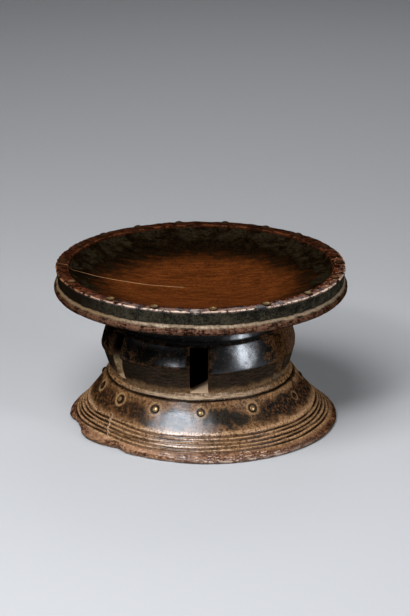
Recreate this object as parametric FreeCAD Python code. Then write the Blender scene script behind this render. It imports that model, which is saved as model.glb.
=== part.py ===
import FreeCAD, Part
import math
import os

from FreeCAD import Placement, Rotation
from FreeCAD import Vector as V

# A round stool carved from one block of hardwood and trimmed with brass tacks.
# Millimetres, +Z up, origin on the floor at the centre of the foot, front towards -Y.
# Azimuths are degrees from the front, positive towards +X.

# Heights, stacked from the floor upwards
FOOT_ROUND = 4.0
BASE_HEIGHT = 65.0
COLLAR_HEIGHT = 8.0
PILLAR_HEIGHT = 63.0
RIDGE_RISE = 30.0
SHOULDER_HEIGHT = 4.0
NECK_HEIGHT = 14.0
UNDERSIDE_RISE = 23.0
LIP_HEIGHT = 9.0
COVE_HEIGHT = 4.0
WALL_HEIGHT = 19.0
RIM_CROWN = 1.2

# Seat
SEAT_RADIUS = 190.0
RIM_BAND = 16.5
DISH_DEPTH = 32.0
DISH_SIDE = 8.0
WALL_LEAN = 2.7
WALL_HOLLOW = 0.8
LIP_REACH = 2.5
LIP_TURN = 3.0
LIP_TOP_INSET = 1.5
LIP_NOSE_RISE = 3.0
COVE_HOLLOW = 0.8

# Waist: six pillars with a ridge round their faces, parted by radial slots
WAIST_RADIUS = 129.0
RIDGE_STEP = 2.0
PILLAR_TOP_INSET = 10.0
PILLAR_FOOT_INSET = 11.0
PILLAR_SWELL = 1.0
SHOULDER_SWELL = 1.0
NECK_INSET = 16.0
NECK_HOLLOW = 1.5
SLOT_COUNT = 6
SLOT_WIDTH = 24.0

# Base: flared foot with incised rings and a hollowed underside
FOOT_RADIUS = 177.5
FOOT_RING = 25.0
UNDERSIDE_HOLLOW = 42.0
COLLAR_SPREAD = 6.0
FLARE_HOLLOW = 3.9
COLLAR_GROOVE_WIDTH = 3.2
COLLAR_GROOVE_DEPTH = 2.4
RING_COUNT = 5
RING_PITCH = 5.1
RING_WIDTH = 3.4
RING_DEPTH = 1.6
FOOT_BAND = 13.0
RING_OVERRUN = 0.7

# Wood lost from the left of the foot: azimuth, depth of the bite, radius of the bite
FOOT_CHIPS = ((-75.0, 9.5, 40.0), (-42.0, 11.0, 40.0), (-21.0, 5.0, 400.0))

# Brass tacks: domed head, larger on the rim, square tapered shank, bedded flat in the wood
RIM_HEAD_RADIUS = 6.0
BASE_HEAD_RADIUS = 4.75
HEAD_EDGE = 0.7
HEAD_HEIGHT = 3.0
SHANK_WIDTH = 2.2
SHANK_TIP = 0.5
SHANK_LENGTH = 13.0
BED_DEPTH = 0.5
BED_CLEARANCE = 0.15
SHANK_CLEARANCE = 0.05
TACK_DROP = 15.5
RIM_TACK_AZIMUTHS = (5.0, 27.1, 48.6, 72.0, 92.5, 114.0, 134.0, 151.0, 169.5,
                     -170.5, -152.0, -134.0, -116.0, -94.0, -66.0, -38.6, -18.6)
BASE_TACK_AZIMUTHS = (0.0, 30.0, 95.0, 122.0, 150.0, 178.0, -154.0, -128.0, -103.0, -77.0, -52.0, -26.0)
LOST_TACK_AZIMUTH = 61.0

# Levels and radii that follow from them
PILLAR_FOOT_Z = BASE_HEIGHT + COLLAR_HEIGHT
RIDGE_Z = PILLAR_FOOT_Z + RIDGE_RISE
PILLAR_TOP_Z = PILLAR_FOOT_Z + PILLAR_HEIGHT
NECK_Z = PILLAR_TOP_Z + SHOULDER_HEIGHT
UNDERSIDE_Z = NECK_Z + NECK_HEIGHT
LIP_Z = UNDERSIDE_Z + UNDERSIDE_RISE
COVE_Z = LIP_Z + LIP_HEIGHT
WALL_Z = COVE_Z + COVE_HEIGHT
RIM_Z = WALL_Z + WALL_HEIGHT
PILLAR_FOOT_RADIUS = WAIST_RADIUS - PILLAR_FOOT_INSET
PILLAR_TOP_RADIUS = WAIST_RADIUS - PILLAR_TOP_INSET
NECK_RADIUS = WAIST_RADIUS - NECK_INSET
COLLAR_RADIUS = PILLAR_FOOT_RADIUS + COLLAR_SPREAD
LIP_RADIUS = SEAT_RADIUS + LIP_REACH
DISH_RADIUS = SEAT_RADIUS - RIM_BAND


def at(radius, height):
    """A point of the turned outline, drawn in the XZ plane."""
    return V(radius, 0, height)


def line(start, end):
    return Part.LineSegment(start, end).toShape()


def bowed(start, end, hollow):
    """An arc whose middle stands `hollow` into the wood; a negative value swells out of it."""
    run = end - start
    inward = V(-run.z, 0, run.x).normalize()
    return Part.Arc(start, (start + end) * 0.5 + inward * hollow, end).toShape()


def surface_spot(edge, length):
    """Point and outward normal at a length along an edge of the outline."""
    u = edge.getParameterByLength(length)
    tangent = edge.tangentAt(u)
    return edge.valueAt(u), V(tangent.z, 0, -tangent.x)


# The stretches of the outline that carry rings and tacks
flare = bowed(at(FOOT_RADIUS, FOOT_ROUND), at(COLLAR_RADIUS, BASE_HEIGHT), FLARE_HOLLOW)
collar = line(at(COLLAR_RADIUS, BASE_HEIGHT), at(PILLAR_FOOT_RADIUS, PILLAR_FOOT_Z))
rim_crown = bowed(at(SEAT_RADIUS, RIM_Z), at(DISH_RADIUS, RIM_Z), -RIM_CROWN)


def dish_arcs():
    """A tight side arc that drops square off the rim and runs on smoothly into the wide floor arc."""
    side_centre = DISH_RADIUS - DISH_SIDE
    bowl = (side_centre ** 2 + DISH_DEPTH ** 2 - DISH_SIDE ** 2) / (2 * (DISH_DEPTH - DISH_SIDE))
    lean = math.asin(side_centre / (bowl - DISH_SIDE))

    def on_side(angle):
        return at(side_centre + DISH_SIDE * math.sin(angle), RIM_Z - DISH_SIDE * math.cos(angle))

    def on_bowl(angle):
        return at(bowl * math.sin(angle), RIM_Z - DISH_DEPTH + bowl * (1 - math.cos(angle)))

    side = Part.Arc(on_side(math.pi / 2), on_side((math.pi / 2 + lean) / 2), on_side(lean))
    floor = Part.Arc(on_side(lean), on_bowl(lean / 2), on_bowl(0))
    return side.toShape(), floor.toShape()


def turned_outline():
    """Half section of the stool, from the foot up the outside, over the rim and down the dish."""
    foot_inner = FOOT_RADIUS - FOOT_RING
    round_start = FOOT_RADIUS - FOOT_ROUND
    diagonal = FOOT_ROUND * math.sqrt(0.5)
    round_middle = at(round_start + diagonal, FOOT_ROUND - diagonal)
    foot_round = Part.Arc(at(round_start, 0), round_middle, at(FOOT_RADIUS, FOOT_ROUND)).toShape()

    under_ridge = at(WAIST_RADIUS - RIDGE_STEP, RIDGE_Z - RIDGE_STEP)
    ridge = at(WAIST_RADIUS, RIDGE_Z)
    pillar_top = at(PILLAR_TOP_RADIUS, PILLAR_TOP_Z)
    neck_foot = at(NECK_RADIUS, NECK_Z)
    neck_top = at(NECK_RADIUS, UNDERSIDE_Z)
    lip_foot = at(LIP_RADIUS - LIP_TURN, LIP_Z)
    lip_top = at(LIP_RADIUS - LIP_TOP_INSET, COVE_Z)
    lip_nose = at(LIP_RADIUS, LIP_Z + LIP_NOSE_RISE)
    wall_foot = at(SEAT_RADIUS - WALL_LEAN, WALL_Z)

    dish_floor = at(0, RIM_Z - DISH_DEPTH)
    dish_side, dish_bowl = dish_arcs()
    hollow_top = at(0, UNDERSIDE_HOLLOW)
    hollow_edge = at(foot_inner, 0)
    hollow_sphere = (foot_inner ** 2 + UNDERSIDE_HOLLOW ** 2) / (2 * UNDERSIDE_HOLLOW)
    half_angle = math.asin(foot_inner / hollow_sphere) / 2
    hollow_middle = at(hollow_sphere * math.sin(half_angle),
                       UNDERSIDE_HOLLOW - hollow_sphere * (1 - math.cos(half_angle)))

    edges = [
        line(hollow_edge, at(round_start, 0)),
        foot_round,
        flare,
        collar,
        line(at(PILLAR_FOOT_RADIUS, PILLAR_FOOT_Z), under_ridge),
        line(under_ridge, ridge),
        bowed(ridge, pillar_top, -PILLAR_SWELL),
        bowed(pillar_top, neck_foot, -SHOULDER_SWELL),
        bowed(neck_foot, neck_top, NECK_HOLLOW),
        line(neck_top, lip_foot),
        Part.Arc(lip_foot, lip_nose, lip_top).toShape(),
        bowed(lip_top, wall_foot, COVE_HOLLOW),
        bowed(wall_foot, at(SEAT_RADIUS, RIM_Z), WALL_HOLLOW),
        rim_crown,
        dish_side,
        dish_bowl,
        line(dish_floor, hollow_top),
        Part.Arc(hollow_top, hollow_middle, hollow_edge).toShape(),
    ]
    return Part.Face(Part.Wire(edges))


def ring_cut(spot, width, depth):
    """V-shaped ring incised all round at a spot of the outline, its sides carried on past the surface."""
    point, outward = spot
    along = V(-outward.z, 0, outward.x)
    mouth = point + outward * RING_OVERRUN
    spread = along * (width / 2 * (1 + RING_OVERRUN / depth))
    corners = [mouth + spread, point - outward * depth, mouth - spread]
    section = Part.Face(Part.makePolygon(corners + corners[:1]))
    return section.revolve(V(0, 0, 0), V(0, 0, 1), 360)


def incised_rings():
    rings = [ring_cut(surface_spot(collar, 0), COLLAR_GROOVE_WIDTH, COLLAR_GROOVE_DEPTH)]
    for k in range(RING_COUNT):
        spot = surface_spot(flare, FOOT_BAND + k * RING_PITCH)
        rings.append(ring_cut(spot, RING_WIDTH, RING_DEPTH))
    return rings


def waist_slots():
    """Radial slots from the axis out through the waist, as high as the pillars."""
    slots = []
    for k in range(SLOT_COUNT):
        slot = Part.makeBox(SLOT_WIDTH, 2 * WAIST_RADIUS, PILLAR_HEIGHT,
                            V(-SLOT_WIDTH / 2, -2 * WAIST_RADIUS, PILLAR_FOOT_Z))
        slot.rotate(V(0, 0, 0), V(0, 0, 1), k * 360 / SLOT_COUNT)
        slots.append(slot)
    return slots


def foot_chips():
    """Bites out of the edge of the foot, right through its thickness."""
    chips = []
    for azimuth, depth, radius in FOOT_CHIPS:
        reach = FOOT_RADIUS - depth + radius
        angle = math.radians(azimuth)
        centre = V(reach * math.sin(angle), -reach * math.cos(angle), -BASE_HEIGHT)
        chips.append(Part.makeCylinder(radius, 2 * BASE_HEIGHT, centre))
    return chips


def square(width, height):
    half = width / 2
    corners = [V(-half, -half, height), V(half, -half, height), V(half, half, height), V(-half, half, height)]
    return Part.makePolygon(corners + corners[:1])


def shank(clearance):
    """Square shank tapering down from the underside of the head."""
    top = square(SHANK_WIDTH + 2 * clearance, 0)
    tip = square(SHANK_TIP + 2 * clearance, -SHANK_LENGTH - clearance)
    return Part.makeLoft([top, tip], True, True)


def tack(head_radius):
    """One tack, with the underside of its head at z = 0."""
    rise = HEAD_HEIGHT - HEAD_EDGE
    sphere = (head_radius ** 2 + rise ** 2) / (2 * rise)
    half_angle = math.asin(head_radius / sphere) / 2
    dome_middle = at(sphere * math.sin(half_angle), HEAD_HEIGHT - sphere * (1 - math.cos(half_angle)))
    edges = [
        line(at(0, 0), at(head_radius, 0)),
        line(at(head_radius, 0), at(head_radius, HEAD_EDGE)),
        Part.Arc(at(head_radius, HEAD_EDGE), dome_middle, at(0, HEAD_HEIGHT)).toShape(),
        line(at(0, HEAD_HEIGHT), at(0, 0)),
    ]
    head = Part.Face(Part.Wire(edges)).revolve(V(0, 0, 0), V(0, 0, 1), 360)
    return head.fuse(shank(0)).removeSplitter()


def tack_bed(head_radius):
    """What a tack takes out of the wood: a flat bed for the head and a hole for the shank."""
    bed = Part.makeCylinder(head_radius + BED_CLEARANCE, HEAD_HEIGHT)
    return bed.fuse(shank(SHANK_CLEARANCE))


def tack_place(spot, azimuth):
    """Stands a tack square to the wood at a spot of the outline, turned to its azimuth."""
    point, outward = spot
    lean = math.degrees(math.atan2(outward.x, outward.z))
    standing = Placement(point - outward * BED_DEPTH, Rotation(V(0, 1, 0), lean))
    return Placement(V(0, 0, 0), Rotation(V(0, 0, 1), azimuth - 90)) * standing


def placed(shape, placement):
    return shape.transformed(placement.toMatrix())


rim_spot = surface_spot(rim_crown, rim_crown.Length / 2)
base_spot = surface_spot(flare, flare.Length - TACK_DROP)
tack_rows = (
    ("rim_tack", rim_spot, RIM_HEAD_RADIUS, RIM_TACK_AZIMUTHS),
    ("base_tack", base_spot, BASE_HEAD_RADIUS, BASE_TACK_AZIMUTHS),
)
tacks = {}
beds = [placed(tack_bed(BASE_HEAD_RADIUS), tack_place(base_spot, LOST_TACK_AZIMUTH))]
for kind, spot, head_radius, azimuths in tack_rows:
    for number, azimuth in enumerate(azimuths, 1):
        place = tack_place(spot, azimuth)
        tacks["%s_%02d" % (kind, number)] = placed(tack(head_radius), place)
        beds.append(placed(tack_bed(head_radius), place))

block = turned_outline().revolve(V(0, 0, 0), V(0, 0, 1), 360)
carving = incised_rings() + waist_slots() + foot_chips()
nodes = {"stool_body": block.cut(carving).cut(beds), **tacks}

os.makedirs("parts", exist_ok=True)
for name, shape in nodes.items():
    shape.exportStep("parts/%s.step" % name)
body = nodes["stool_body"]
print("nodes", len(nodes), "body valid", body.isValid(), "solids", len(body.Solids), "litres", body.Volume / 1e6)
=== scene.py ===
import math

import bpy
import numpy as np
from mathutils import Matrix, Vector, noise


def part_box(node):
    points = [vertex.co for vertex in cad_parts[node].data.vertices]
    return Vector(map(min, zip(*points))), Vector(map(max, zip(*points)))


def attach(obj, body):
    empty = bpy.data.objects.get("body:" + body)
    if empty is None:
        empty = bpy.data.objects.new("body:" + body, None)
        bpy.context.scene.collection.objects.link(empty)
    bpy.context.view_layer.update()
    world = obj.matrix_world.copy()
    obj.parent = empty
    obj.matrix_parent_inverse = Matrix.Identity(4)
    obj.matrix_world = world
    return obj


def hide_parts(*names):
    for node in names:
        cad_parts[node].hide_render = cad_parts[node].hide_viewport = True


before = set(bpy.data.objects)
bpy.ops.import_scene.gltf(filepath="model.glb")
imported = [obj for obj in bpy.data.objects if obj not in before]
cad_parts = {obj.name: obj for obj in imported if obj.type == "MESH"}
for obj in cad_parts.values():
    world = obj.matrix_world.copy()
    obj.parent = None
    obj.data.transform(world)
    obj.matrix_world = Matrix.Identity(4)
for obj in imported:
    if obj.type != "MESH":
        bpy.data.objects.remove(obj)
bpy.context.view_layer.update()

# The stool body, shape: one block of dense dark hardwood, worked round by eye with adze and knife.
# Seat, pillars and foot were never apart, so they are one skin here, as uneven as hand work leaves it.
# Lengths of the carving are in millimetres, and azimuths run from the front towards the right.
mm = 0.001
body_low, body_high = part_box("stool_body")
rim_crown = 1.2
rim_level = body_high.z / mm - rim_crown
hollow_height = 42.0
flare_foot = (177.5, 4.0)
flare_top = (124.0, 65.0)
flare_length = math.dist(flare_foot, flare_top)
foot_band = 13.0
ring_pitch = 5.1
ring_count = 5
ring_zone = (foot_band - 3, foot_band + (ring_count - 1) * ring_pitch + 3)


def crowded(rows):
    """Shares of a stretch that crowd towards both of its ends, where the edges are."""
    return (1 - np.cos(np.pi * np.arange(1, rows + 1) / rows)) / 2


flare_shares = np.r_[
    np.linspace(0, ring_zone[0], 6)[1:],
    np.linspace(*ring_zone, 46)[1:],
    ring_zone[1] + (flare_length - ring_zone[1]) * np.sin(np.linspace(0, np.pi / 2, 24)[1:]),
] / flare_length
outline_plan = (  # each stretch: its name, end radius, end height, hollow of its middle, shares of its rows
    ("foot_hollow", 152.5, 0.0, 10.7, crowded(8)),
    ("foot_ring", 173.5, 0.0, 0.0, crowded(5)),
    ("foot_edge", *flare_foot, -1.2, crowded(5)),
    ("flare", *flare_top, 3.9, flare_shares),
    ("collar", 118.0, 73.0, 0.0, crowded(9)),
    ("pillar_foot", 126.5, 101.2, 0.0, crowded(10)),
    ("ridge", 129.0, 103.0, 0.0, crowded(4)),
    ("pillar_face", 119.0, 136.0, -1.0, crowded(12)),
    ("shoulder", 114.5, 140.0, -1.0, crowded(5)),
    ("neck", 110.5, 154.0, 1.0, crowded(8)),
    ("seat_underside", 189.5, 177.0, 0.0, crowded(14)),
    ("lip", 191.0, 186.0, -2.4, crowded(10)),
    ("ledge", 187.3, 190.0, 0.8, crowded(6)),
    ("wall", 190.0, rim_level, 0.8, crowded(10)),
    ("rim", 173.5, rim_level, -rim_crown, crowded(14)),
    ("dish_side", 167.2, rim_level - 7.6, 1.6, crowded(8)),
    ("dish_floor", 0.0, rim_level - 32, 6.1, np.linspace(0, 1, 37)[1:]),
)


def bowed(start, end, hollow, shares):
    """Points from start to end, the middle standing `hollow` into the wood."""
    run = np.subtract(end, start)
    inward = np.array((-run[1], run[0])) / np.hypot(*run)
    return start + np.outer(shares, run) + np.outer(4 * shares * (1 - shares) * hollow, inward)


outline = np.array([(0.0, hollow_height)])
last_row = {}
for stretch, end_radius, end_height, hollow, shares in outline_plan:
    outline = np.vstack([outline, bowed(outline[-1], (end_radius, end_height), hollow, shares)])
    last_row[stretch] = len(outline) - 1
edge_wear = 3
for _ in range(edge_wear):
    outline[1:-1] = (outline[:-2] + 2 * outline[1:-1] + outline[2:]) / 4
tangent = np.gradient(outline, axis=0)
tangent /= np.linalg.norm(tangent, axis=1)[:, None]
outward = np.c_[tangent[:, 1], -tangent[:, 0]]
along = np.r_[0, np.cumsum(np.linalg.norm(np.diff(outline, axis=0), axis=1))]
bend = np.gradient(np.unwrap(np.arctan2(tangent[:, 1], tangent[:, 0])), along)
foot_row = last_row["collar"]
top_row = last_row["pillar_face"]
waist_rows = slice(foot_row, top_row + 1)

# Columns run up the skin: some cross each slot of the waist, and the rest cross the pillar beside it.
slot_count = 6
slot_width = 24.0
slot_columns = 16
pillar_columns = 50
sector_columns = slot_columns + pillar_columns
columns = slot_count * sector_columns
sector_starts = np.arange(slot_count) * sector_columns
slot_angles = 2 * np.pi * np.arange(slot_count) / slot_count
slot_shares = np.linspace(-1, 1, slot_columns + 1)[:-1]
worn_corner = np.array((0.008, 0.018, 0.032))
pillar_shares = np.r_[0, worn_corner, np.linspace(0.05, 0.95, pillar_columns - 7), 1 - worn_corner[::-1]]
waist_radius = outline[np.clip(np.arange(len(outline)), foot_row, top_row), 0]
half_slot = np.arcsin(slot_width / 2 / waist_radius)[:, None]
azimuth = np.hstack([
    np.hstack([angle + half_slot * slot_shares,
               angle + half_slot + (2 * np.pi / slot_count - 2 * half_slot) * pillar_shares])
    for angle in slot_angles])


def waves(angle, lowest, highest, seed):
    """Slow unevenness round the stool, mostly between -1 and 1."""
    rng = np.random.default_rng(seed)
    total = np.zeros_like(angle)
    for count in range(lowest, highest + 1):
        total += rng.normal() * np.cos(count * angle + rng.uniform(0, 2 * np.pi))
    return total / math.sqrt(highest - lowest + 1)


def lumps(points, size, seed):
    """Smooth noise with swells of about that size, at points in millimetres."""
    shift = Vector((seed * 7.7, seed * 3.1, seed * 5.3))
    flat = points.reshape(-1, 3) / size
    return np.array([noise.noise(Vector(point) + shift) for point in flat]).reshape(points.shape[:-1])


def signed_degrees(angle):
    """Degrees from the front, negative towards the left."""
    return np.degrees(np.angle(np.exp(1j * angle)))


def near_azimuth(bearing, half_width):
    """1 on the skin at a bearing in degrees, falling smoothly to 0 at half_width degrees either side."""
    off = signed_degrees(azimuth - math.radians(bearing))
    share = np.clip(1 - np.abs(off) / half_width, 0, 1)
    return share * share * (3 - 2 * share)


def skin_points(radius, height):
    """Where the skin's points stand, from their radii and heights."""
    return np.stack([radius * np.sin(azimuth), -radius * np.cos(azimuth), height], axis=-1)


radius = np.repeat(outline[:, :1], columns, axis=1)
height = np.repeat(outline[:, 1:], columns, axis=1)
plain = skin_points(radius, height)
edge_bend = 2.2
convex = np.clip(bend * edge_bend, 0, 1)[:, None]
concave = np.clip(-bend * edge_bend, 0, 1)[:, None]

# Incised rings round the foot and the groove under the collar, cut freehand, so depth and course wander.
ring_width = 4.0
ring_depth = 2.1
groove_width = 4.0
groove_depth = 2.6
flare_along = along[:, None] - along[last_row["foot_edge"]]
groove_along = along[last_row["flare"]] - along[last_row["foot_edge"]]


def incised(middle, width, depth):
    """How deep a round-bottomed cut along the flare goes at each point of the skin."""
    return depth * np.clip(1 - (np.abs(flare_along - middle) / (width / 2)) ** 2, 0, 1)


incision = incised(groove_along + 0.5 * waves(azimuth, 2, 7, 11), groove_width,
                   groove_depth * (1 + 0.2 * waves(azimuth, 3, 12, 12)))
left_course = 3.8 * near_azimuth(-50, 26) - 1.4 * near_azimuth(-88, 26)
for number in range(ring_count):
    course = foot_band + number * ring_pitch + 0.45 * waves(azimuth, 2, 9, 20 + number) + left_course
    cut_depth = ring_depth * (1 + 0.25 * waves(azimuth, 4, 20, 30 + number))
    incision = np.maximum(incision, incised(course, ring_width, cut_depth))

# Tool marks all over, nicks along the edges, and a flake gone from the rim at the front.
nick_depth = 2.4
nicked_from = 160.0
flake_depth = 2.2
flake_azimuth = -2.2
flake_half_width = 2.4
rim_inside = 185.0
tool_marks = 0.4 * lumps(plain, 26, 1) + 0.18 * lumps(plain, 9, 2)
tool_marks += 0.9 * lumps(plain, 11, 7) * (plain[..., 2] > rim_level - 1.5)
nicks = nick_depth * np.clip(lumps(plain, 7, 3) - 0.12, 0, 1) * convex * (plain[..., 2] > nicked_from)
at_rim_edge = np.exp(-((plain[..., 2] - rim_level + 1.5) / 3.2) ** 2) * (radius > rim_inside)
flake = flake_depth * near_azimuth(flake_azimuth, flake_half_width) * at_rim_edge

# One tack is lost from the foot at the front right: its bed and the torn hole are left.
lost_tack = np.array((122.4, -57.1, 48.0))
bed_depth = 1.2
hole_depth = 3.0
hole_radius = 2.6
lost_gap = np.linalg.norm(plain - lost_tack, axis=-1)
lost_bed = bed_depth * np.clip(1.6 - lost_gap / 4, 0, 1)
lost_bed = lost_bed + hole_depth * np.clip(1 - lost_gap / hole_radius, 0, 1)
carved = tool_marks - nicks - flake - incision - lost_bed
radius = radius + outward[:, :1] * carved
height = height + outward[:, 1:] * carved

# The ridge climbs on the left pillar, whose face is hollowed above it and rubbed flat at the far left. On
# the right side it is rubbed round.
ridge_band = 6.0
face_hollow = 2.6
climb_azimuths = (-56, -54, -30, -5, 0)
climb_heights = (0, 3, 6, 7.5, 0)
edge_rounding = ((0, 2.2), (1, 1.1), (-1, 1.1), (2, 0.4), (-2, 0.4), (3, 0.1), (-3, 0.1))
ridge_level = outline[last_row["ridge"], 1]
foot_level = outline[foot_row, 1]
top_level = outline[top_row, 1]
climb = np.interp(height, (foot_level, ridge_level, top_level), (0, 1, 0))
bearings = signed_degrees(azimuth)
height = height + np.interp(bearings, climb_azimuths, climb_heights) * climb
at_ridge = np.exp(-((height - ridge_level) / ridge_band) ** 2) * (climb > 0)
radius = radius - (2.2 * near_azimuth(88, 34) + 2.4 * near_azimuth(-52, 20)) * at_ridge
face_foot = ridge_level + ridge_band
up_face = np.clip((height - face_foot) / (top_level - face_foot), 0, 1) * (climb > 0)
radius = radius - face_hollow * np.clip(2 * near_azimuth(-28, 32), 0, 1) * 4 * up_face * (1 - up_face)
pillar_edge = np.zeros(columns)
for column, rounding in edge_rounding:
    pillar_edge[(sector_starts + slot_columns + column) % columns] = rounding
    pillar_edge[(sector_starts + column) % columns] = rounding
radius[foot_row + 1:top_row] -= pillar_edge

# Two bites have split away from the foot on the left, and from there to the front its edge is worn short.
break_azimuths = (-88, -84, -79, -71, -68, -65, -60, -55, -50, -46, -42, -39, -35, -27, -16, 0)
break_depths = (0.0, 4.0, 9.5, 9.5, 6.0, 2.5, 1.0, 2.5, 5.5, 9.5, 11.5, 9.5, 6.0, 6.0, 5.0, 0.0)
foot_lean = 0.12
broken = np.interp(bearings, break_azimuths, break_depths)
ragged = broken * (1 + 0.35 * lumps(plain, 6, 4) + 0.15 * lumps(plain, 2.5, 5))
foot_limit = flare_foot[0] - ragged + foot_lean * height
flare_rows = slice(last_row["foot_edge"], last_row["collar"])
lost_wood = np.clip(radius - foot_limit, 0, None) * (broken > 0)
lost_wood[:flare_rows.start] = 0
lost_wood[flare_rows.stop:] = 0
radius = radius - lost_wood
sole_rows = slice(last_row["foot_hollow"], last_row["foot_edge"])
hollow_edge = outline[last_row["foot_hollow"], 0]
kept_share = 1 - ragged / (flare_foot[0] - hollow_edge)
radius[sole_rows] = hollow_edge + ((radius - hollow_edge) * kept_share)[sole_rows]

# The skin's faces, left open across the slots.
skin = skin_points(radius, height)
points = [skin.reshape(-1, 3)]
point_count = len(outline) * columns
grid = np.arange(point_count).reshape(len(outline), columns)
faces = []


def add_points(new):
    """Adds points to the skin and gives their numbers, in the same layout."""
    global point_count
    new = np.asarray(new)
    points.append(new.reshape(-1, 3))
    numbers = np.arange(point_count, point_count + new.size // 3).reshape(new.shape[:-1])
    point_count += new.size // 3
    return numbers


def add_quads(sheet, flip=False):
    """Faces between the rows of a sheet of point numbers."""
    corners = [sheet[:-1, :-1], sheet[:-1, 1:], sheet[1:, 1:], sheet[1:, :-1]]
    quads = np.stack(corners, axis=-1).reshape(-1, 4)
    faces.extend((quads[:, ::-1] if flip else quads).tolist())


def add_fan(ring, apex, flip):
    """Triangles from a row of point numbers to one point."""
    for near, far in zip(ring[:-1], ring[1:]):
        faces.append([far, near, apex] if flip else [near, far, apex])


round_grid = np.c_[grid, grid[:, :1]]
add_quads(round_grid[1:foot_row + 1])
add_quads(round_grid[top_row:-1])
for first in sector_starts + slot_columns:
    add_quads(round_grid[waist_rows, first:first + pillar_columns + 1])
add_fan(round_grid[1], grid[0, 0], flip=True)
add_fan(round_grid[-2], grid[-1, 0], flip=False)

# The slots run in to the axis, so each pillar is a wedge: two flat walls that meet in an inner arris.
wall_steps = 14
arris_radius = slot_width / 2 / math.sin(math.pi / slot_count)
left_walls = []
right_walls = []
wall_shares = np.arange(1, wall_steps)[None, :, None] / wall_steps
for start_column, slot_angle in zip(sector_starts, slot_angles):
    middle = slot_angle + math.pi / slot_count
    first = start_column + slot_columns
    last = (first + pillar_columns) % columns
    levels = skin[waist_rows, first, 2]
    arris_foot = (arris_radius * math.sin(middle), -arris_radius * math.cos(middle))
    arris = np.c_[np.tile(arris_foot, (len(levels), 1)), levels]
    arris_numbers = add_points(arris)
    for walls, column in ((left_walls, first), (right_walls, last)):
        edge = skin[waist_rows, column]
        inner = add_points(edge[:, None] + (arris - edge)[:, None] * wall_shares)
        wall = np.c_[grid[waist_rows, column], inner, arris_numbers]
        add_quads(wall, flip=walls is left_walls)
        walls.append(wall)


def slot_deck(row, wall_row, flip):
    """The floor or the ceiling of all the slots, which meet in the middle."""
    centre = add_points([[0.0, 0.0, skin[row, 0, 2]]])[0]
    shares = np.arange(1, slot_columns)[None, :, None] / slot_columns
    for number, first in enumerate(sector_starts):
        left = right_walls[number - 1][wall_row]
        right = left_walls[number][wall_row]
        known = np.vstack(points)
        deck_points = known[left[1:], None] + (known[right[1:]] - known[left[1:]])[:, None] * shares
        deck_points[..., 2] += 0.5 * lumps(deck_points, 14, 6)
        inner = add_points(deck_points)
        deck = np.vstack([grid[row, first:first + slot_columns + 1], np.c_[left[1:], inner, right[1:]]])
        add_quads(deck, flip)
        add_fan(deck[-1], centre, flip)


slot_deck(foot_row, 0, False)
slot_deck(top_row, -1, True)

# The whole skin wanders a little. The waist stands left of the seat's axis, and the foot right and forward.
wander_size = 34.0
wander_depth = 0.3
waist_limit = 150.0
waist_shift = -2.4
foot_shift = (3.5, -4.0)
foot_shift_top = 46.0
places = np.vstack(points)
noise.seed_set(7)
wander = np.array([noise.noise_vector(Vector(point) / wander_size) for point in places])
places = places + wander_depth * wander
in_waist = np.interp(places[:, 2], (58, 80, 138, 160), (0, 1, 1, 0))
in_waist = in_waist * (np.hypot(places[:, 0], places[:, 1]) < waist_limit)
places[:, 0] += waist_shift * in_waist
places[:, :2] += np.outer(np.clip(1 - places[:, 2] / foot_shift_top, 0, 1), foot_shift)
places[:, 2] = np.maximum(places[:, 2], body_low.z / mm)


def on_skin(values):
    """A value for each point: as given on the outer skin, and 0 in the slots."""
    spread = np.zeros(len(places))
    spread[:grid.size] = values.ravel()
    return spread


# Where wear, dirt and torn wood lie and how far inside its slot a point is, kept on the mesh for the finish.
rows = np.arange(len(outline))[:, None]
in_hole = np.clip(1.8 - lost_gap / 2.2, 0, 1)
slot_mouth = np.interp(places[:, 2], outline[waist_rows, 1], outline[waist_rows, 0])
inside = slot_mouth - np.hypot(places[:, 0] - waist_shift, places[:, 1])
inside[:grid.size] = 0
wear = {
    "worn": on_skin(np.maximum(convex + 0 * azimuth, (pillar_edge > 0) * (climb > 0))),
    "dirty": on_skin(np.maximum(np.maximum(concave * (rows > top_row), incision / ring_depth), in_hole)),
    "torn": on_skin(np.clip(lost_wood / 1.5, 0, 1)),
    "low_face": on_skin((climb > 0) * (rows < last_row["ridge"])),
    "inside": inside,
}

used = np.unique(np.concatenate([np.ravel(face) for face in faces]))
renumber = np.zeros(len(places), int)
renumber[used] = np.arange(len(used))
body_mesh = bpy.data.meshes.new("carved_body")
body_mesh.from_pydata((places[used] * mm).tolist(), [], [renumber[face].tolist() for face in faces])
for name, values in wear.items():
    layer = body_mesh.attributes.new(name, "FLOAT", "POINT")
    layer.data.foreach_set("value", values[used].astype(np.float32))
body_mesh.polygons.foreach_set("use_smooth", [True] * len(body_mesh.polygons))
sharp_degrees = 48
body_mesh.set_sharp_from_angle(angle=math.radians(sharp_degrees))
body = bpy.data.objects.new("carved_body", body_mesh)
bpy.context.collection.objects.link(body)


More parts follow.
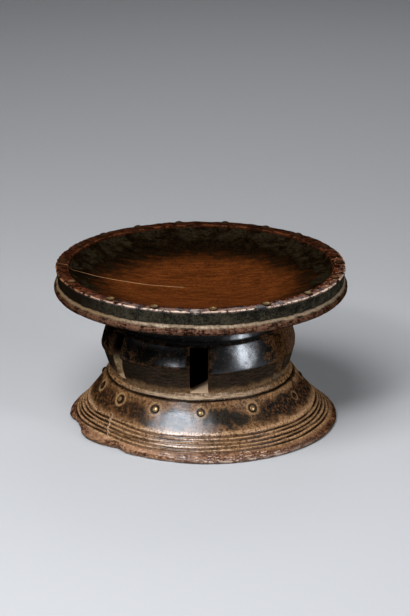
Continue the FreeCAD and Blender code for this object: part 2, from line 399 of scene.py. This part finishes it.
# The stool body, finish: smoke, oil and handling have built a black patina, and use has rubbed it through.
# The seat is worn to red-brown wood, the foot to tan, and dust lies on every ledge and in every hollow.
class Finish:
    """One output in a material's node tree. Arithmetic on it adds Math nodes to that tree."""

    def __init__(self, tree, socket=None):
        self.tree = tree
        self.socket = socket

    def add(self, kind, settings=None, sockets=None, output=0):
        """A new node: its settings are set first, then its sockets are given values or links."""
        node = self.tree.nodes.new("ShaderNode" + kind)
        for name, value in (settings or {}).items():
            setattr(node, name, value)
        for key, value in (sockets or {}).items():
            if isinstance(value, Finish):
                self.tree.links.new(value.socket, node.inputs[key])
            else:
                node.inputs[key].default_value = value
        return Finish(self.tree, node.outputs[output] if node.outputs else None)

    def maths(self, operation, *values):
        return self.add("Math", {"operation": operation}, dict(enumerate(values)))

    def __add__(self, other):
        return self.maths("ADD", self, other)

    __radd__ = __add__

    def __sub__(self, other):
        return self.maths("SUBTRACT", self, other)

    def __rsub__(self, other):
        return self.maths("SUBTRACT", other, self)

    def __mul__(self, other):
        return self.maths("MULTIPLY", self, other)

    __rmul__ = __mul__

    def most(self, other):
        """The larger of two values."""
        return self.maths("MAXIMUM", self, other)

    def size(self):
        """The value without its sign."""
        return self.maths("ABSOLUTE", self)

    def span(self, other):
        """The distance that two lengths at right angles make."""
        return self.maths("SQRT", self * self + other * other)

    def millimetres(self, kind, output):
        """The place that a node of this kind gives, in millimetres."""
        metres = self.add(kind, output=output)
        return self.add("VectorMath", {"operation": "SCALE"}, {0: metres, "Scale": 1 / mm})

    def parts(self):
        """The three parts of a place: across, in depth and up."""
        separate = self.add("SeparateXYZ", sockets={0: self}).socket.node
        return [Finish(self.tree, output) for output in separate.outputs]

    def gap_to(self, point):
        """How far this place lies from a point."""
        return self.add("VectorMath", {"operation": "DISTANCE"}, {0: self, 1: point}, "Value")

    def rise(self, low, high):
        """0 below low and 1 above high, smooth between; it falls instead where low is the larger."""
        ends = {1: min(low, high), 2: max(low, high), 3: float(low > high), 4: float(low < high)}
        return self.add("MapRange", {"interpolation_type": "SMOOTHSTEP"}, {0: self, **ends})

    def between(self, low, high, soft):
        """1 from low to high, with ends that fade over twice `soft`."""
        return self.rise(low - soft, low + soft) * self.rise(high + soft, high - soft)

    def mix(self, bottom, top):
        """Lays the top colour over the bottom one by this mask."""
        return self.add("Mix", {"data_type": "RGBA"}, {0: self, 6: bottom, 7: top}, 2)

    def mottle(self, stretch, detail=4.0, rough=0.55):
        """Noise at this place, with swells of the given length in millimetres along each axis."""
        shares = [1 / length for length in stretch]
        scaled = self.add("VectorMath", {"operation": "MULTIPLY"}, {0: self, 1: shares})
        sockets = {"Vector": scaled, "Scale": 1.0, "Detail": detail, "Roughness": rough}
        return self.add("TexNoise", {}, sockets)


def srgb(red, green, blue):
    """A colour by its 0 to 255 screen values, as the linear values that a socket takes."""
    parts = [part / 255 for part in (red, green, blue)]
    return [part / 12.92 if part < 0.04045 else ((part + 0.055) / 1.055) ** 2.4 for part in parts] + [1.0]


def new_finish(name):
    """An empty material and a start for its nodes."""
    material = bpy.data.materials.new(name)
    material.use_nodes = True
    material.node_tree.nodes.clear()
    return material, Finish(material.node_tree)


patina, wood = new_finish("patinated_hardwood")
place = wood.millimetres("TexCoord", "Object")
across, depth, level = place.parts()
reach = across.span(depth)
turn = place.maths("ARCTAN2", across, 0 - depth) * (180 / math.pi)
front = turn.size().rise(80, 15)
edge, crease, torn_face, under_ridge, slot_reach = (
    wood.add("Attribute", {"attribute_name": name}, output="Fac") for name in wear)
broad = place.mottle((34, 34, 34), 4)
patchy = place.mottle((14, 14, 14), 6, 0.62)
fine = place.mottle((4, 4, 4), 5, 0.65)
fleck = place.mottle((2.3, 2.3, 2.3), 4, 0.7)
speckle = place.mottle((1.3, 1.3, 1.3), 3, 0.6)
grain = place.mottle((40, 2.4, 2.4), 6, 0.62)
streak = place.mottle((110, 10, 10), 4)
strokes = place.mottle((11, 11, 1.4), 5, 0.68)
stipple = 0.5 * fleck + 0.5 * speckle
dapple = 0.5 * fine + 0.5 * fleck
scuff = 0.5 * fine + 0.5 * strokes

# Black patina first, which the neck, the seat's underside and the pillars keep.
colour = patchy.rise(0.35, 0.7).mix(srgb(7, 6, 4), srgb(25, 19, 12))
inside_ridge = reach.rise(134, 132)
on_pillars = level.between(foot_level, top_level + 4, 0.6) * inside_ridge
flank = turn.size().rise(28, 60)
right_end = turn.rise(36, 56)
brown_rub = patchy + 0.3 * (fine - 0.5) + 1.1 * (fleck - 0.5) + 0.1 * flank + 0.18 * right_end
brown_rub = on_pillars * brown_rub.rise(0.58, 0.78) * (1 - 0.75 * turn.between(9, 27, 4))
colour = brown_rub.mix(colour, fleck.rise(0.42, 0.58).mix(srgb(44, 28, 17), srgb(88, 60, 37)))
polish = level.between(ridge_level, 158, 1.5) * reach.rise(140, 134) * (1 - 0.7 * brown_rub)
dulled = (0.5 * turn.rise(-4, -8)).most(0.85 * turn.rise(-15, -33)).most(turn.rise(-48, -60))
dulled = dulled.most(0.85 * turn.rise(36, 50))
polish = polish * (1 - on_pillars * dulled)
low_wood = (0.6 * strokes + 0.4 * stipple).rise(0.38, 0.62).mix(srgb(24, 19, 14), srgb(58, 48, 38))
# Lower faces on the left are darkened: painted shade, where the waist lies in shade.
low_wood = (0.6 * turn.rise(-22, -50)).mix(low_wood, srgb(20, 14, 9))
colour = under_ridge.mix(colour, low_wood)
polish = polish * (1 - under_ridge) * (1 - edge)

# The slots: rubbed walls at the mouth, paler on the right as painted light, black further in as painted
# shade, and dust on the floor that feet and wind drive in, laid and brightened where light would fall as
# painted light.
slot_wall = (patchy + 0.6 * (stipple - 0.5)).rise(0.36, 0.64).mix(srgb(27, 20, 14), srgb(72, 56, 40))
# On the right the slot walls get a paler brown: rubbing, and painted light where the walls lie in shadow.
rub_and_light_wall = (dapple + 0.5 * (patchy - 0.5)).rise(0.42, 0.58)
slot_wall = right_end.mix(slot_wall, rub_and_light_wall.mix(srgb(58, 37, 22), srgb(136, 96, 60)))
# Upper walls of the slots on the left are near-black: painted shade.
slot_wall = (turn.rise(-30, -48) * level.rise(100, 112)).mix(slot_wall, srgb(8, 6, 4))
low_wall = (level + (fine - 0.5) * 16).rise(106, 88) * (1 - 0.8 * turn.rise(0, 30))
slot_wall = low_wall.mix(slot_wall, stipple.rise(0.35, 0.65).mix(srgb(128, 106, 76), srgb(190, 166, 128)))
colour = slot_reach.rise(0.5, 2.5).mix(colour, slot_wall)
# Further into a slot everything is near-black: painted shade.
colour = slot_reach.rise(13, 26).mix(colour, srgb(2, 2, 1))
settled = (level + (patchy - 0.5) * 14 + (fleck - 0.5) * 10).rise(foot_level + 11, foot_level + 1)
settled = settled * on_pillars * slot_reach.rise(12, 4)
colour = (0.75 * settled).mix(colour, fleck.rise(0.4, 0.6).mix(srgb(92, 68, 45), srgb(138, 110, 80)))
# The floor dust is painted light as well: it ends where the lit patch would end, reaching deeper on the
# right, and is brighter than the dust itself.
front_slot = turn.size().rise(26, 14) * across
floor_dust_and_light = (slot_reach - 36 - 1.3 * front_slot + (patchy - 0.5) * 10).rise(6, -4)
floor_dust_and_light = floor_dust_and_light * level.rise(foot_level + 2.4, foot_level + 1) * slot_reach.rise(0.2, 1.5)
floor_dust_and_light = floor_dust_and_light * (1 - 0.5 * turn.size().rise(30, 48))
floor_dust_lit = stipple.rise(0.35, 0.65).mix(srgb(212, 180, 146), srgb(240, 214, 184))
colour = floor_dust_and_light.mix(colour, floor_dust_lit)
polish = polish * slot_reach.rise(0.6, 0)

# The dish, rubbed through to red-brown wood in a round patch that reaches the front of the rim.
in_dish = reach.rise(174.0, 172.5) * level.rise(173.5, 175.5)
worn_reach = (across - 2).span(depth + 26) + (streak - 0.5) * 50 + (patchy - 0.5) * 60
worn_reach = worn_reach + (grain - 0.5) * 34 + (fleck - 0.5) * 26
seat_wood = 0.7 * grain + 0.3 * fine + 0.7 * (stipple - 0.5)
seat_wood = seat_wood.rise(0.34, 0.66).mix(srgb(48, 21, 7), srgb(98, 51, 21))
seat_wood = (0.5 * broad.rise(0.5, 0.72)).mix(seat_wood, srgb(52, 24, 6))
seat_wood = (0.3 * depth.rise(-80, -130)).mix(seat_wood, srgb(46, 22, 8))
pores = place.mottle((14, 1.6, 1.6), 4, 0.7).rise(0.56, 0.66)
seat_wood = (0.5 * pores).mix(seat_wood, srgb(44, 20, 6))
seat_dark = (stipple + 0.3 * (patchy - 0.5)).rise(0.44, 0.62).mix(srgb(5, 3, 1), srgb(27, 18, 9))
olive = (reach + (patchy - 0.5) * 60).rise(138, 158) * (0.6 * fine + 0.4 * strokes).rise(0.36, 0.68)
olive = olive * (broad + 0.6 * (patchy - 0.5)).rise(0.42, 0.56)
seat_dark = (0.85 * olive).mix(seat_dark, srgb(38, 33, 23))
seat = worn_reach.rise(150, 94).mix(seat_dark, seat_wood)
colour = in_dish.mix(colour, seat)

# The rim, dark and greasy, with painted glints on the right; below it the black wall, the dusty ledge with a
# painted highlight at the front, and the rubbed lip with painted shade along its lower edge.
outside = reach.rise(180, 183)
on_rim = reach.rise(171.5, 173) * level.rise(rim_level - 4, rim_level - 2)
rim_wood = (scuff + 0.4 * (patchy - 0.5)).rise(0.42, 0.6)
rim_wood = rim_wood.mix(srgb(20, 9, 4), srgb(84, 39, 19))
rim_wood = (0.5 * strokes.rise(0.6, 0.7) * turn.rise(20, -20)).mix(rim_wood, srgb(124, 84, 58))
# Pale painted glints along the rim on the right.
painted_glints = (fine + 0.8 * (speckle - 0.5)).rise(0.65, 0.71) * turn.between(10, 120, 15)
rim_wood = (0.8 * painted_glints).mix(rim_wood, srgb(196, 158, 128))
rim_wood = (0.7 * turn.rise(-46, -80).most(depth.rise(0, 70))).mix(rim_wood, srgb(26, 13, 7))
colour = on_rim.mix(colour, rim_wood)
polish = polish.most(0.35 * on_rim * front)
on_wall = outside * level.between(191, rim_level - 2, 0.9)
wall_wood = (stipple + 0.5 * (patchy - 0.5)).rise(0.4, 0.66).mix(srgb(17, 16, 13), srgb(63, 59, 48))
wall_wood = (0.9 * turn.rise(-22, -62)).mix(wall_wood, srgb(20, 14, 8))
colour = on_wall.mix(colour, wall_wood)
on_lip = outside * level.between(175, 186.4, 0.6)
lip_wood = (0.4 * strokes + 0.25 * fine + 0.35 * fleck + 0.4 * (patchy - 0.5)).rise(0.44, 0.58)
lip_wood = lip_wood.mix(srgb(28, 14, 8), front.mix(srgb(70, 42, 24), srgb(120, 87, 71)))
# The lip's lower edge is darkened: painted shade.
lip_wood = (0.6 * level.rise(180, 176.5)).mix(lip_wood, srgb(26, 14, 8))
colour = on_lip.mix(colour, lip_wood)
ledge_level = level + (patchy - 0.5) * 5
on_ledge = outside * ledge_level.rise(185.6, 188.4) * ledge_level.rise(191.1, 189.8)
ledge_dust_and_highlight = turn.rise(-50, -15).mix(srgb(108, 88, 64), srgb(136, 119, 100))
# A paler patch at the front of the ledge is a painted highlight on the dust.
ledge_dust_and_highlight = (0.6 * turn.between(-22, 8, 14) * patchy.rise(0.4, 0.6)).mix(ledge_dust_and_highlight, srgb(180, 166, 148))
ledge_dust_and_highlight = (0.5 * fine + 0.5 * stipple).rise(0.38, 0.56).mix(srgb(98, 81, 64), ledge_dust_and_highlight)
colour = on_ledge.mix(colour, ledge_dust_and_highlight)

# The foot: dusty collar with painted shade on its top at the sides, tan flare blackened in a belt between
# the tacks, grime and painted shadow round each tack, rings with a painted highlight on their front crests,
# and a reddish band below.
outside_slots = reach.rise(116, 117)
on_collar = level.between(flare_top[1] - 0.5, foot_level + 0.4, 0.5) * outside_slots
collar_dust = (0.3 * stipple + 0.7 * strokes).rise(0.38, 0.6).mix(srgb(124, 101, 79), srgb(186, 164, 140))
collar_side = dapple.rise(0.44, 0.56).mix(srgb(60, 41, 25), srgb(148, 112, 76))
collar_dust = (0.7 * level.rise(69, 71) * fine.rise(0.56, 0.44)).mix(collar_dust, srgb(84, 61, 41))
collar_wood = (turn.size() + (patchy - 0.5) * 60).rise(62, 12).mix(collar_side, collar_dust)
colour = on_collar.mix(colour, collar_wood)
# The top of the collar is painted darker at the sides: painted shade.
collar_top = level.between(70.8, 74.2, 0.6) * on_collar.most(on_pillars) * slot_reach.rise(1, 0)
collar_top = 0.8 * collar_top * turn.size().rise(10, 22)
colour = collar_top.mix(colour, fleck.rise(0.4, 0.6).mix(srgb(52, 37, 24), srgb(102, 78, 54)))
on_flare = level.rise(flare_top[1], flare_top[1] - 1)
at_sides = turn.size().rise(28, 44)
belt_levels = (36, 56)
tan = (dapple + 0.45 * (patchy - 0.5)).rise(0.42, 0.58)
tan = tan.mix(srgb(70, 47, 28), srgb(148, 112, 78))
left_brown = dapple.rise(0.42, 0.58).mix(srgb(66, 45, 26), srgb(146, 107, 69))
tan = (0.8 * turn.rise(-25, -60) * level.rise(32, 42)).mix(tan, left_brown)
right_tan = dapple.rise(0.42, 0.58).mix(srgb(104, 76, 50), srgb(178, 138, 100))
tan = (0.55 * turn.rise(20, 45) * (1 - level.between(*belt_levels, 5))).mix(tan, right_tan)
foot_tacks = sorted(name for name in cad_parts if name.startswith("base_tack"))
tack_middles = [sum(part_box(name), Vector()) / 2 / mm for name in foot_tacks]
tack_gap = place.gap_to(tack_middles[0])
for middle in tack_middles[1:]:
    tack_gap = wood.maths("MINIMUM", tack_gap, place.gap_to(middle))
lost = place.gap_to(lost_tack)
belt = level.between(37, 54, 9) * (0.15 + 0.85 * tack_gap.rise(6, 26))
side_belt = 0.28 + 0.06 * turn.rise(-1, 1) + 0.06 * turn.rise(-42, -54)
belt = belt + side_belt * level.between(*belt_levels, 7) * at_sides
belt = (belt + 3.4 * (patchy - 0.5) + 2.4 * (fine - 0.5) + 1.6 * (fleck - 0.5)).rise(0.2, 0.7)
soot = fleck.rise(0.45, 0.65).mix(srgb(10, 12, 11), srgb(34, 36, 33))
soot = turn.rise(-24, -44).mix(soot, fleck.rise(0.42, 0.6).mix(srgb(13, 10, 7), srgb(46, 33, 21)))
soot = (0.8 * fine.rise(0.52, 0.59) * at_sides).mix(soot, srgb(102, 63, 34))
tan = (0.95 * belt).mix(tan, soot)
tack_ring = (tack_gap + (fine - 0.5) * 4).between(7.4, 10.4, 0.9) * fleck.rise(0.34, 0.54)
tan = (0.7 * tack_ring * (0.6 + 0.4 * turn.rise(-30, -45))).mix(tan, srgb(166, 132, 94))
# A dark ring right round each tack head: grime and a painted shadow.
tan = (0.9 * tack_gap.rise(7.8, 7.2)).mix(tan, srgb(34, 22, 12))
lost_ring = (lost + (fine - 0.5) * 5).between(5.0, 7.0, 0.8) * fleck.rise(0.38, 0.52)
tan = (0.8 * lost_ring).mix(tan, srgb(150, 114, 78))
colour = on_flare.mix(colour, tan)
handled = (turn + (patchy - 0.5) * 26).between(-27, 9, 12)
handled = handled * (level + (strokes - 0.5) * 18).between(12, 52, 8)
flare_polish = (0.15 * belt * turn.size().rise(75, 48)).most(0.9 * handled).most(0.2 * front)
polish = polish.most(on_flare * flare_polish)
crest = level.between(11.5, 31.5, 1.5) * crease.rise(0.35, 0.05) * fleck.rise(0.4, 0.58)
colour = (0.75 * crest).mix(colour, srgb(182, 147, 112))
# At the front the ring crests are rubbed and painted pale as a highlight.
crest_rub_and_highlight = crest * turn.between(-25, 9, 10) * scuff.rise(0.46, 0.56)
colour = (0.8 * crest_rub_and_highlight).mix(colour, srgb(216, 194, 178))
on_band = (level + (patchy - 0.5) * 6 + 3 * turn.rise(15, 35)).rise(14, 10)
short_edge = turn.between(-56, -14, 10)
red_rub = 0.55 * patchy + 0.45 * strokes + 0.5 * (fine - 0.5) + 0.5 * (fleck - 0.5)
red_rub = red_rub + 0.05 * level.rise(9, 3) - 0.06 * short_edge
red_rub = red_rub.rise(0.4, 0.54)
band_wood = red_rub.mix(srgb(132, 98, 74), srgb(52, 25, 17))
worn_short = short_edge * scuff.rise(0.46, 0.56)
band_wood = (0.7 * worn_short).mix(band_wood, srgb(176, 134, 99))
pale_strokes = 0.8 * front * (strokes + 0.5 * (fine - 0.5)).rise(0.57, 0.64)
band_wood = pale_strokes.mix(band_wood, srgb(204, 176, 154))
colour = on_band.mix(colour, band_wood)
colour = (on_band * turn.rise(30, 70) * 0.85).mix(colour, red_rub.mix(srgb(124, 84, 56), srgb(44, 22, 12)))
under = (level + reach).rise(170, 164) * level.rise(46, 43)
colour = under.mix(colour, patchy.rise(0.35, 0.65).mix(srgb(58, 40, 26), srgb(92, 68, 46)))
polish = polish * (1 - under)

# Dirt lies dark in the grooves, a dark band runs along the foot of the collar, and handling has rubbed the
# outer edges pale; on the rim's front edge that pale line is also a painted highlight.
groove = crease.rise(0.4, 0.95) * (0.45 + 0.55 * (turn + 12).size().rise(20, 50).most(level.rise(24, 34)))
groove = groove * (strokes + 0.5 * (fleck - 0.5)).rise(0.3, 0.46)
colour = groove.mix(colour, level.rise(50, 60).mix(srgb(30, 18, 9), srgb(12, 8, 5)))
# A dark band along the foot of the collar, set a little higher at the front right.
dark_collar_foot = (level + (patchy - 0.5) * 7 - 1.6 * turn.between(2, 22, 7)).between(62.6, 66.0, 0.9)
dark_collar_foot = dark_collar_foot * inside_ridge * outside_slots * fleck.rise(0.36, 0.5)
colour = (0.85 * dark_collar_foot).mix(colour, srgb(30, 20, 12))
rim_edge = outside * level.rise(rim_level - 5, rim_level - 3) * turn.between(-42, 96, 18)
rub = scuff + 0.7 * (patchy - 0.5) + 0.3 * (speckle - 0.5) + 0.03 * rim_edge
rub = edge * rub.rise(0.46, 0.57)
# The pale line along the rim's front edge is wear and a painted highlight; along the foot's front edge it is
# wear.
pale_rub_and_highlight = rim_edge.most(0.6 * level.rise(12, 8) * front)
rubbed_rim = outside.mix(srgb(82, 47, 28), srgb(136, 96, 66))
rubbed = level.rise(rim_level - 4, rim_level - 3).mix(srgb(62, 44, 30), rubbed_rim)
colour = rub.mix(colour, pale_rub_and_highlight.mix(rubbed, srgb(214, 188, 170)))
flaked = rim_edge * (turn + (fine - 0.5) * 5).between(-3.3, -1.2, 0.5)
flaked = flaked * (level + (fine - 0.5) * 8).rise(204, 205)
colour = (0.85 * flaked).mix(colour, srgb(140, 126, 118))
crack = (depth - 0.5 + (streak - 0.5) * 3).size().rise(0.8, 0.3)
crack = crack * across.between(-192, -22, 3) * in_dish.most(on_rim) * (0.4 + 0.6 * across.rise(-165, -105))
colour = crack.mix(colour, srgb(176, 134, 94))
torn_wood = (dapple + 0.4 * (patchy - 0.5)).rise(0.42, 0.6)
torn_wood = torn_wood.mix(srgb(62, 36, 23), srgb(172, 128, 94))
colour = torn_face.mix(colour, torn_wood)
split = (across + 123 - 0.2 * level + (fine - 0.5) * 9 + (patchy - 0.5) * 14).size().rise(1.3, 0.7)
split = split * level.between(13, 34, 4) * depth.rise(-30, -36) * fleck.rise(0.36, 0.48)
colour = split.mix(colour, srgb(186, 156, 128))

relief = 0.6 * grain * in_dish + 0.5 * strokes + 0.3 * fine + 0.2 * speckle - 1.2 * crack.most(split)
wood_bump = wood.add("Bump", {}, {"Strength": 0.4, "Distance": 0.4 * mm, "Height": relief})
dry = wood.add("BsdfPrincipled", {}, {
    "Base Color": colour, "Roughness": 0.8, "Normal": wood_bump, "Specular IOR Level": 0.0})
glossy = wood.add("BsdfPrincipled", {}, {
    "Base Color": colour, "Roughness": 0.12 + 0.24 * fine + 0.06 * on_flare, "Normal": wood_bump,
    "Specular IOR Level": 1.0, "Specular Tint": srgb(236, 244, 255)})
wood_surface = wood.add("MixShader", {}, {0: polish, 1: dry, 2: glossy})
wood.add("OutputMaterial", {}, {"Surface": wood_surface})
body_mesh.materials.append(patina)
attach(body, "root")
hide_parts("stool_body")

# The tacks: cast brass upholstery tacks with a low domed head and a square tapered shank.
# They are hammered into the rim and the foot, so each head sits square to the wood, a little dented.
head_radii = {"rim": 6.0, "base": 4.75}
head_edge = 0.7
head_rounding = 0.25
head_sharp_degrees = 50
head_height = 3.0
shank_width = 2.2
shank_tip = 0.5
shank_length = 13.0
head_segments = 28
head_rings = 8
dent_size = 2.4
dent_depth = 0.22
tack_names = sorted(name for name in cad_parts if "_tack_" in name)

# The crown of a head is rubbed bright where hands reach it, at the front, and grime and painted shade lie
# round its edge.
brass, metal = new_finish("aged_brass")
head_x, head_y, _ = metal.millimetres("TexCoord", "Object").parts()
off_axis = head_x.span(head_y)
where = metal.millimetres("NewGeometry", "Position")
_, in_depth, up = where.parts()
tarnish = where.mottle((3.5, 3.5, 3.5), 4)
grit = where.mottle((0.7, 0.7, 0.7), 3)
on_seat = up.rise(100, 150)
# Darkening towards the edge of each head: grime and painted shade.
grime_and_shade = (off_axis * (1 - 0.25 * on_seat) + (tarnish - 0.5) * 2).rise(2.2, 4.3)
tone = tarnish.rise(0.35, 0.7).mix(srgb(146, 120, 84), srgb(196, 170, 130))
tone = (0.75 * on_seat).mix(tone, srgb(108, 84, 50))
in_reach = in_depth.rise(-60, -120)
far_back = in_depth.rise(-70, 10)
tone = in_reach.mix(far_back.mix(srgb(84, 59, 37), srgb(46, 28, 16)), tone)
tone = grime_and_shade.mix(tone, srgb(36, 24, 13))
brass_bump = metal.add("Bump", {}, {"Strength": 0.3, "Distance": 0.15 * mm, "Height": grit})
brass_surface = metal.add("BsdfPrincipled", {}, {
    "Base Color": tone, "Metallic": (0.6 - 0.4 * grime_and_shade) * (0.1 + 0.9 * in_reach),
    "Roughness": 0.25 + 0.3 * grime_and_shade, "Normal": brass_bump, "Specular IOR Level": 0.0})
metal.add("OutputMaterial", {}, {"Surface": brass_surface})


def tack_mesh(name, seed, head_radius):
    """A tack with the underside of its head at z = 0, its dome dented here and there."""
    rng = np.random.default_rng(seed)
    sphere = (head_radius ** 2 + (head_height - head_edge) ** 2) / (2 * (head_height - head_edge))
    angles = 2 * np.pi * np.arange(head_segments) / head_segments
    lean = math.asin(head_radius / sphere) * np.linspace(1, 0, head_rings + 1)[:-1]
    rings = [(head_radius - head_rounding, 0.0), (head_radius, head_rounding), (head_radius, head_edge)]
    rings += [(sphere * math.sin(a), head_height - sphere * (1 - math.cos(a))) for a in lean[1:]]
    verts = [(r * math.cos(a), r * math.sin(a), z) for r, z in rings for a in angles]
    dent = Vector(rng.normal(size=3))
    dents = [noise.noise(Vector(vert) / dent_size + dent) for vert in verts]
    verts = [(x, y, z + dent_depth * z / head_height * swell) for (x, y, z), swell in zip(verts, dents)]
    count = head_segments
    steps = [(k, (k + 1) % count) for k in range(count)]
    quads = []
    for lower in range(0, (len(rings) - 1) * count, count):
        upper = lower + count
        quads += [(lower + k, lower + after, upper + after, upper + k) for k, after in steps]
    crown = len(verts)
    verts.append((0.0, 0.0, head_height))
    quads += [(upper + k, upper + after, crown) for k, after in steps]
    base = len(verts)
    for half, z in ((shank_width / 2, 0.0), (shank_tip / 2, -shank_length)):
        verts += [(-half, -half, z), (half, -half, z), (half, half, z), (-half, half, z)]
    quads += [(base + k, base + 4 + k, base + 4 + (k + 1) % 4, base + (k + 1) % 4) for k in range(4)]
    quads.append((base + 4, base + 7, base + 6, base + 5))
    per_side = count // 4
    for k, after in steps:
        corner = base + ((k + per_side // 2) // per_side + 2) % 4
        following = base + ((k + 1 + per_side // 2) // per_side + 2) % 4
        quads.append((k, corner, after))
        if following != corner:
            quads.append((corner, following, after))
    mesh = bpy.data.meshes.new(name)
    mesh.from_pydata((np.array(verts) * mm).tolist(), [], quads)
    mesh.polygons.foreach_set("use_smooth", [True] * len(mesh.polygons))
    mesh.set_sharp_from_angle(angle=math.radians(head_sharp_degrees))
    mesh.materials.append(brass)
    return mesh


def head_frame(node):
    """Where the CAD tack stands: the axis runs from the tip of its shank to the crown of its head."""
    ends = np.array([vertex.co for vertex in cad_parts[node].data.vertices])
    middle = ends.mean(axis=0)
    axis = np.linalg.svd(ends - middle, full_matrices=False)[2][0]
    if axis @ middle < 0:
        axis = -axis
    heights = (ends - middle) @ axis
    crown = ends[heights.argmax()]
    return Vector(crown - axis * head_height * mm), Vector(axis)


for number, name in enumerate(tack_names):
    head_place, axis = head_frame(name)
    head_radius = head_radii[name.split("_")[0]]
    tack = bpy.data.objects.new("brass_" + name, tack_mesh("brass_" + name, number, head_radius))
    bpy.context.collection.objects.link(tack)
    tack.matrix_world = Matrix.Translation(head_place) @ axis.to_track_quat("Z", "Y").to_matrix().to_4x4()
    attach(tack, "root")
    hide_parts(name)

# The studio: a plain pale paper floor and four soft boxes, two up on the left, a tall one on the right and
# a weak one behind. They stand where the sheen on the foot and the right-hand pillar says that soft light
# came from.
floor_half = 12.0
floor_mesh = bpy.data.meshes.new("floor")
floor_mesh.from_pydata([(-floor_half, -floor_half, 0), (floor_half, -floor_half, 0),
                        (floor_half, floor_half, 0), (-floor_half, floor_half, 0)], [], [(0, 1, 2, 3)])
floor = bpy.data.objects.new("floor", floor_mesh)
bpy.context.collection.objects.link(floor)
paper, pulp = new_finish("pale_paper")
paper_surface = pulp.add("BsdfPrincipled", {}, {
    "Base Color": srgb(178, 180, 184), "Roughness": 0.9, "Specular IOR Level": 0.1})
pulp.add("OutputMaterial", {}, {"Surface": paper_surface})
floor_mesh.materials.append(paper)

aim = Vector((0.0, 0.0, 0.1))
for name, azimuth_deg, elevation_deg, distance, width, tall, spread_deg, watts in (
        ("high_box", -32, 57, 2.4, 1.7, 1.6, 180, 63),
        ("front_box", -26, 39, 2.6, 0.6, 0.36, 180, 28),
        ("right_box", 55, 16, 2.4, 0.45, 1.4, 90, 6.6),
        ("back_box", 170, 40, 2.8, 1.4, 1.0, 180, 10)):
    lamp = bpy.data.lights.new(name, "AREA")
    lamp.shape = "ELLIPSE"
    lamp.size = width
    lamp.size_y = tall
    lamp.energy = watts
    lamp.spread = math.radians(spread_deg)
    box = bpy.data.objects.new(name, lamp)
    bpy.context.collection.objects.link(box)
    heading = math.radians(azimuth_deg)
    tilt = math.radians(elevation_deg)
    away = Vector((math.sin(heading) * math.cos(tilt), -math.cos(heading) * math.cos(tilt), math.sin(tilt)))
    box.location = aim + away * distance
    box.rotation_euler = away.to_track_quat("Z", "Y").to_euler()
world = bpy.data.worlds.new("studio")
world.use_nodes = True
background = world.node_tree.nodes["Background"]
background.inputs["Color"].default_value = srgb(160, 161, 164)
background.inputs["Strength"].default_value = 0.1
bpy.context.scene.world = world

# The camera: a long lens a little above the rim, looking down at the stool from the front.
# Its place comes from the ellipses of rim, groove and foot in the photograph, which is 410 by 616.
image_long_side = 616
focal_pixels = 2800
camera_place = Vector((5.6, -3480.0, 1350.6)) * mm
camera_pitch = math.radians(19.05)
lens = bpy.data.cameras.new("camera")
lens.sensor_width = 36.0
lens.lens = focal_pixels / image_long_side * lens.sensor_width
camera = bpy.data.objects.new("camera", lens)
bpy.context.collection.objects.link(camera)
camera.location = camera_place
camera.rotation_euler = (math.pi / 2 - camera_pitch, 0.0, 0.0)
bpy.context.scene.camera = camera
bpy.context.scene.view_settings.view_transform = "Standard"
